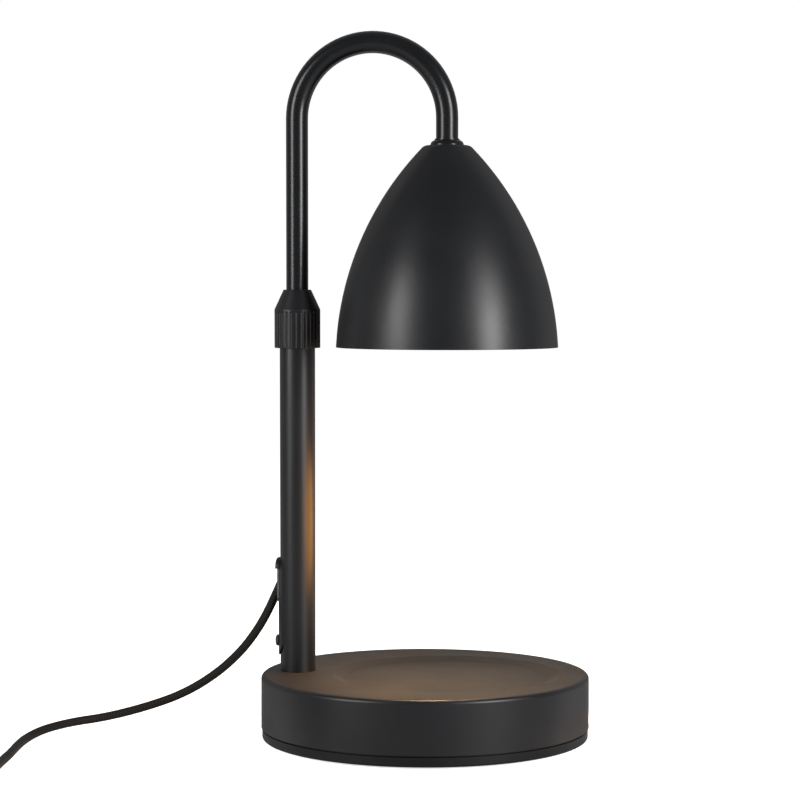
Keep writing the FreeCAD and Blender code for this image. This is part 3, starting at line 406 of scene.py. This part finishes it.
def turned(name, clean, tarnished, rough, pitch=0.0002, depth=0.00002, metallic=1.0):
    """Bare or plated metal between its clean and its tarnished colour."""
    material, nodes, links, shader = new_finish(name, {"Metallic": metallic})
    tool = nodes.new("ShaderNodeGroup")
    tool.node_tree = turning_group
    tool.inputs["Pitch"].default_value = pitch
    tint = nodes.new("ShaderNodeMix")
    tint.data_type = "RGBA"
    tint.inputs["A"].default_value = (*clean, 1.0)
    tint.inputs["B"].default_value = (*tarnished, 1.0)
    links.new(tool.outputs["Tarnish"], tint.inputs["Factor"])
    links.new(tint.outputs["Result"], shader.inputs["Base Color"])
    gloss = nodes.new("ShaderNodeMapRange")
    gloss.inputs["From Min"].default_value = 0.25
    gloss.inputs["From Max"].default_value = 0.75
    gloss.inputs["To Min"].default_value = rough[0]
    gloss.inputs["To Max"].default_value = rough[1]
    links.new(tool.outputs["Tarnish"], gloss.inputs["Value"])
    links.new(gloss.outputs[0], shader.inputs["Roughness"])
    bump = nodes.new("ShaderNodeBump")
    bump.inputs["Strength"].default_value = 0.5
    bump.inputs["Distance"].default_value = depth
    links.new(tool.outputs["Marks"], bump.inputs["Height"])
    links.new(bump.outputs["Normal"], shader.inputs["Normal"])
    return material


zinc_steel = turned("zinc_steel", (0.62, 0.62, 0.60), (0.42, 0.42, 0.41), (0.24, 0.42))
black_screw = turned("black_screw", (0.030, 0.030, 0.032), (0.016, 0.016, 0.017), (0.30, 0.46),
                     metallic=0.9)
brass = turned("turned_brass", (0.76, 0.55, 0.24), (0.50, 0.34, 0.14), (0.20, 0.38))
dress(black_screw, "cord_cover_screw")
dress(zinc_steel, "base_screws", "post_anchor_bolt", "post_anchor_washer", "post_foot_plug",
      "arm_snap_rings", "threaded_nipple", "lock_washer", "lamp_bracket", "holder_screws",
      "dimmer_screws")
dress(brass, "nipple_nut", "post_top_bush")

# Post
# Steel tube in the drum's satin black, with a pressed cover over the cord's exit, a rubber
# grommet behind it, and the leads and their joint inside.
dress(black_coat, "post_tube", "cord_cover")
dress(coated("black_rubber", (0.0085, 0.0085, 0.0085), (0.0130, 0.0130, 0.0130),
             (0.65, 0.8), 0.0004, 0.00004, dust_and_top_light=0.0, cloud_size=0.004), "cord_grommet")
inner_jacket = coated("inner_jacket", (0.0050, 0.0046, 0.0044), (0.0100, 0.0094, 0.0090),
                      (0.5, 0.62), 0.0004, 0.00004, dust_and_top_light=0.0, cloud_size=0.005)
dress(inner_jacket, "cord_tail")
lead_sleeve = coated("lead_sleeve", (0.46, 0.44, 0.40), (0.60, 0.58, 0.54),
                     (0.45, 0.6), 0.0003, 0.00003, dust_and_top_light=0.0, cloud_size=0.004)
dress(lead_sleeve, "slack_lead", "arm_lead")
nylon = coated("nylon", (0.58, 0.56, 0.50), (0.70, 0.68, 0.62), (0.38, 0.5), 0.0005, 0.00003,
               dust_and_top_light=0.0, cloud_size=0.008)
dress(nylon, "lead_joint", "guide_bush", "clamp_ring")

# Clamp collar
# Fluted collar on the top of the post, in the drum's satin black coat. Turned by hand, it moves
# the tapered ring inside it, which grips the arm.
dress(black_coat, "clamp_collar")

# Arm and shade
# A steel tube bent to a gooseneck and a spun steel shade, held together by the threaded nipple.
# The tube, the domed cap and the neck ring are a little glossier than the shade.
dress(black_coat, "shade")
gloss_coat = coated("gloss_black_coat", (0.0008, 0.0009, 0.0011), (0.0015, 0.0016, 0.0019),
                    (0.22, 0.28), 0.0011, 0.00003, slant_rough=0.22, IOR=1.17)
dress(gloss_coat, "arm_tube", "shade_cap", "neck_ring")

# Lampholder and bulb
# Glazed ceramic holder for a bulb with two locking pins, and a reflector bulb with a clear
# front lens. It is lit, so its capsule glows warm.
dress(coated("ceramic", (0.74, 0.72, 0.68), (0.80, 0.79, 0.76), (0.22, 0.34), 0.0007, 0.00003,
             dust_and_top_light=0.0, cloud_size=0.01), "lampholder", "bulb_neck")
dress(turned("contact_bronze", (0.72, 0.50, 0.30), (0.48, 0.32, 0.18), (0.28, 0.42)),
      "holder_contacts")
pin_nickel = turned("pin_nickel", (0.72, 0.70, 0.66), (0.56, 0.54, 0.50), (0.16, 0.30))
dress(pin_nickel, "bulb_pins", "plug_pins")


def facetted_glass(name, rough, cell, depth, **plain):
    """Pressed glass with a pattern of small facets."""
    material, nodes, links, shader = new_finish(
        name, {label.replace("_", " "): value for label, value in plain.items()})
    cells = nodes.new("ShaderNodeTexVoronoi")
    cells.inputs["Scale"].default_value = 1.0 / cell
    links.new(nodes.new("ShaderNodeTexCoord").outputs["Object"], cells.inputs["Vector"])
    gloss = nodes.new("ShaderNodeMapRange")
    gloss.inputs["To Min"].default_value = rough[0]
    gloss.inputs["To Max"].default_value = rough[1]
    links.new(cells.outputs["Distance"], gloss.inputs["Value"])
    links.new(gloss.outputs[0], shader.inputs["Roughness"])
    bump = nodes.new("ShaderNodeBump")
    bump.inputs["Strength"].default_value = 0.6
    bump.inputs["Distance"].default_value = depth
    links.new(cells.outputs["Distance"], bump.inputs["Height"])
    links.new(bump.outputs["Normal"], shader.inputs["Normal"])
    return material


dress(facetted_glass("reflector_glass", (0.10, 0.22), 0.0030, 0.0003, **{
    "Base_Color": (0.86, 0.84, 0.80, 1.0), "Metallic": 1.0}), "bulb_reflector")
dress(facetted_glass("lens_glass", (0.06, 0.16), 0.0022, 0.0003, **{
    "Base_Color": (1.0, 0.96, 0.90, 1.0), "Transmission_Weight": 0.9, "IOR": 1.5,
    "Emission_Color": (1.0, 0.62, 0.30, 1.0), "Emission_Strength": 0.9}), "bulb_lens")
dress(facetted_glass("capsule_quartz", (0.05, 0.12), 0.0040, 0.0001, **{
    "Base_Color": (1.0, 0.92, 0.80, 1.0), "Transmission_Weight": 0.8, "IOR": 1.46,
    "Emission_Color": (1.0, 0.66, 0.34, 1.0), "Emission_Strength": 3.0}), "bulb_capsule")

# Cord tie, dimmer and plug
# Strap round the put-away turns, the two-part moulded dimmer with its wheel and board, and the
# moulded two-pin plug with a tapered strain relief.
dress(coated("tie_strap", (0.0070, 0.0070, 0.0075), (0.0130, 0.0130, 0.0135),
             (0.6, 0.75), 0.0004, 0.0001, dust_and_top_light=0.0, cloud_size=0.003), "cord_tie")
dress(coated("dimmer_plastic", (0.0022, 0.0022, 0.0024), (0.0036, 0.0036, 0.0039),
             (0.42, 0.5), 0.0005, 0.00005, slant_rough=0.2, IOR=1.25),
      "dimmer_lower_case", "dimmer_upper_case", "dimmer_wheel")
dress(coated("board", (0.012, 0.075, 0.030), (0.020, 0.110, 0.045),
             (0.3, 0.42), 0.0015, 0.00003, dust_and_top_light=0.0, cloud_size=0.004), "dimmer_board")
dress(coated("plug_plastic", (0.0024, 0.0024, 0.0026), (0.0038, 0.0038, 0.0041),
             (0.44, 0.52), 0.0006, 0.00004, slant_rough=0.2, IOR=1.25), "plug_body")

# Light and floor
# A pale floor and an even white studio, two tall softboxes to the left and right of the camera,
# and the lit bulb: its beam on the dish, and the warm light that is thrown back on to the post.
floor_grey = (0.58, 0.58, 0.58, 1.0)
floor_lift = 0.66
floor_paint = bpy.data.materials.new("floor_paint")
floor_paint.use_nodes = True
paint_nodes, paint_links = floor_paint.node_tree.nodes, floor_paint.node_tree.links
paint_nodes.clear()
floor_out = paint_nodes.new("ShaderNodeOutputMaterial")
matt = paint_nodes.new("ShaderNodeBsdfDiffuse")
matt.inputs["Color"].default_value = floor_grey
lift = paint_nodes.new("ShaderNodeEmission")
path = paint_nodes.new("ShaderNodeLightPath")
seen = sum_node(paint_nodes, paint_links, "MAXIMUM", path.outputs["Is Camera Ray"],
                sum_node(paint_nodes, paint_links, "MAXIMUM", path.outputs["Is Glossy Ray"],
                         path.outputs["Is Transmission Ray"]))
paint_links.new(sum_node(paint_nodes, paint_links, "MULTIPLY", seen, floor_lift), lift.inputs["Strength"])
both = paint_nodes.new("ShaderNodeAddShader")
paint_links.new(matt.outputs[0], both.inputs[0])
paint_links.new(lift.outputs[0], both.inputs[1])
paint_links.new(both.outputs[0], floor_out.inputs["Surface"])
bpy.ops.object.select_all(action="DESELECT")
bpy.ops.mesh.primitive_plane_add(size=24.0, location=(0.0, 0.0, 0.0))
floor = bpy.context.object
floor.name = "floor"
floor.data.materials.append(floor_paint)

fill_strength, seen_strength = 0.6, 1.0
world = bpy.data.worlds.new("studio")
bpy.context.scene.world = world
world.use_nodes = True
air_nodes, air_links = world.node_tree.nodes, world.node_tree.links
air = air_nodes["Background"]
air.inputs["Color"].default_value = (1.0, 1.0, 1.0, 1.0)
air_path = air_nodes.new("ShaderNodeLightPath")
bright = sum_node(air_nodes, air_links, "MAXIMUM", air_path.outputs["Is Camera Ray"],
                  sum_node(air_nodes, air_links, "MAXIMUM", air_path.outputs["Is Glossy Ray"],
                           air_path.outputs["Is Transmission Ray"]))
level = air_nodes.new("ShaderNodeMapRange")
level.inputs["To Min"].default_value = fill_strength
level.inputs["To Max"].default_value = seen_strength
air_links.new(bright, level.inputs["Value"])
air_links.new(level.outputs[0], air.inputs["Strength"])


def hang_softbox(name, place, aim, size, power):
    """A rectangular studio light at a place, turned to a point."""
    lamp = bpy.data.lights.new(name, "AREA")
    lamp.shape = "RECTANGLE"
    lamp.size, lamp.size_y = size
    lamp.energy = power
    box = bpy.data.objects.new(name, lamp)
    box.location = place
    box.rotation_euler = (Vector(aim) - Vector(place)).to_track_quat("-Z", "Y").to_euler()
    box.visible_camera = False
    bpy.context.scene.collection.objects.link(box)


lamp_middle = (0.0, 0.0, 0.20)
hang_softbox("left_softbox", (-0.84, -0.82, 0.46), lamp_middle, (0.38, 0.64), 35.0)
hang_softbox("right_softbox", (1.00, -0.76, 0.46), lamp_middle, (0.42, 0.64), 60.0)

bulb_x, below_lens = 0.010, 0.002
glow = bpy.data.lights.new("bulb_glow", "SPOT")
glow.energy = 12.0
glow.color = (1.0, 0.60, 0.28)
glow.spot_size = math.radians(64.0)
glow.spot_blend = 0.5
glow.shadow_soft_size = 0.018
bulb_glow = bpy.data.objects.new("bulb_glow", glow)
bulb_glow.location = (bulb_x, 0.0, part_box("bulb_lens")[0].z - below_lens)
bpy.context.scene.collection.objects.link(bulb_glow)
bulb_glow.parent = frame["bodies"]["bulb"]

bounce = bpy.data.lights.new("warm_bounce", "AREA")
bounce.shape = "ELLIPSE"
bounce.size, bounce.size_y = 0.080, 0.060
bounce.energy = 0.36
bounce.color = (1.0, 0.42, 0.07)
warm_bounce = bpy.data.objects.new("warm_bounce", bounce)
warm_bounce.location = (0.006, -0.004, 0.094)
warm_bounce.rotation_euler = Vector((-1.0, 0.0, 0.0)).to_track_quat("-Z", "Y").to_euler()
warm_bounce.visible_camera = False
bpy.context.scene.collection.objects.link(warm_bounce)
warm_bounce.parent = frame["bodies"]["bulb"]

bpy.context.scene.view_settings.view_transform = "Standard"
